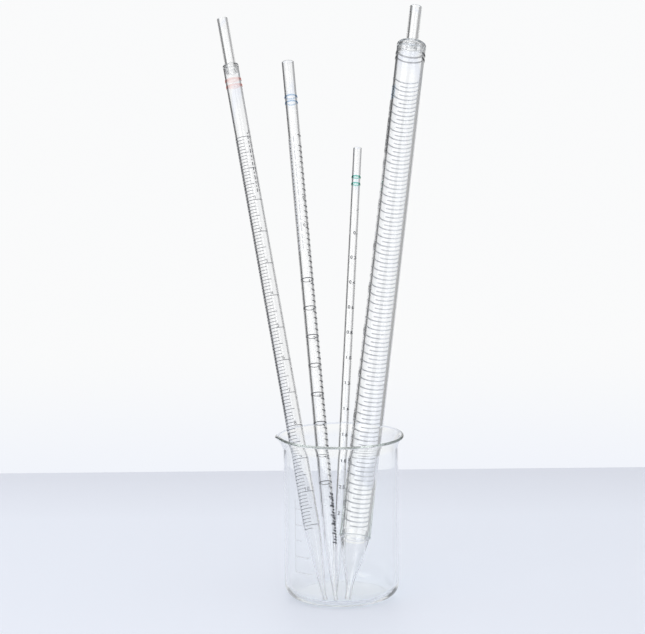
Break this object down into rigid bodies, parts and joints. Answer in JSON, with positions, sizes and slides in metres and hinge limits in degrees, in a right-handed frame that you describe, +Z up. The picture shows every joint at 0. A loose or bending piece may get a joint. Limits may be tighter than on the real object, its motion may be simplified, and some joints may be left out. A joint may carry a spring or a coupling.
{
  "type": "pipette set",
  "caption": "Clear graduated serological pipettes of graded sizes, colour-ringed below their mouth ends, leaning together in a round glass beaker with a small spout.",
  "frame": {"origin": "centre of the beaker's flat underside, on the table", "axes": "+Z up, -Y towards the front, where the picture is taken from, +X to the right seen from the front; the pipettes lean back towards +Y"},
  "size_m": [0.1296, 0.1902, 0.3449],
  "materials": {
    "beaker_glass": "clear borosilicate glass, polished, fire-rounded rim",
    "clear_polystyrene": "crystal-clear rigid plastic, glossy inside and out",
    "scale_ink": "thin printed ink, dark grey",
    "black_ink": "thin printed ink, black",
    "red_ink": "thin printed ink, orange red",
    "blue_ink": "thin printed ink, blue",
    "green_ink": "thin printed ink, green"
  },
  "bodies": {
    "beaker": {"beaker": "beaker_glass"},
    "fifty_ml_pipette": {"fifty_ml_barrel": "clear_polystyrene", "fifty_ml_tip": "clear_polystyrene", "fifty_ml_mouthpiece": "clear_polystyrene", "fifty_ml_colour_ring_1": "black_ink", "fifty_ml_colour_ring_2": "black_ink"},
    "ten_ml_pipette": {"ten_ml_barrel": "clear_polystyrene", "ten_ml_mouthpiece": "clear_polystyrene", "ten_ml_colour_ring_1": "red_ink", "ten_ml_colour_ring_2": "red_ink"},
    "five_ml_pipette": {"five_ml_barrel": "clear_polystyrene", "five_ml_colour_ring_1": "blue_ink", "five_ml_colour_ring_2": "blue_ink", "five_ml_scale_ring_01": "scale_ink", "five_ml_scale_ring_02": "scale_ink", "five_ml_scale_ring_03": "scale_ink", "five_ml_scale_ring_04": "scale_ink", "five_ml_scale_ring_05": "scale_ink", "five_ml_scale_ring_06": "scale_ink", "five_ml_scale_ring_07": "scale_ink", "five_ml_scale_ring_08": "scale_ink", "five_ml_scale_ring_09": "scale_ink", "five_ml_scale_ring_10": "scale_ink", "five_ml_scale_ring_11": "scale_ink", "five_ml_scale_ring_12": "scale_ink"},
    "two_ml_pipette": {"two_ml_barrel": "clear_polystyrene", "two_ml_colour_ring_1": "green_ink", "two_ml_colour_ring_2": "green_ink"}
  },
  "joints": [
    {"name": "fifty_ml_lift_out", "type": "slide", "parent": "beaker", "child": "fifty_ml_pipette", "axis": [0.1255, 0.4235, 0.8972], "range_m": [0, 0.15]},
    {"name": "ten_ml_lift_out", "type": "slide", "parent": "beaker", "child": "ten_ml_pipette", "axis": [-0.1654, 0.3472, 0.9231], "range_m": [0, 0.15]},
    {"name": "five_ml_lift_out", "type": "slide", "parent": "beaker", "child": "five_ml_pipette", "axis": [-0.0759, 0.4987, 0.8634], "range_m": [0, 0.15]},
    {"name": "two_ml_lift_out", "type": "slide", "parent": "beaker", "child": "two_ml_pipette", "axis": [0.0591, 0.477, 0.8769], "range_m": [0, 0.15]}
  ]
}
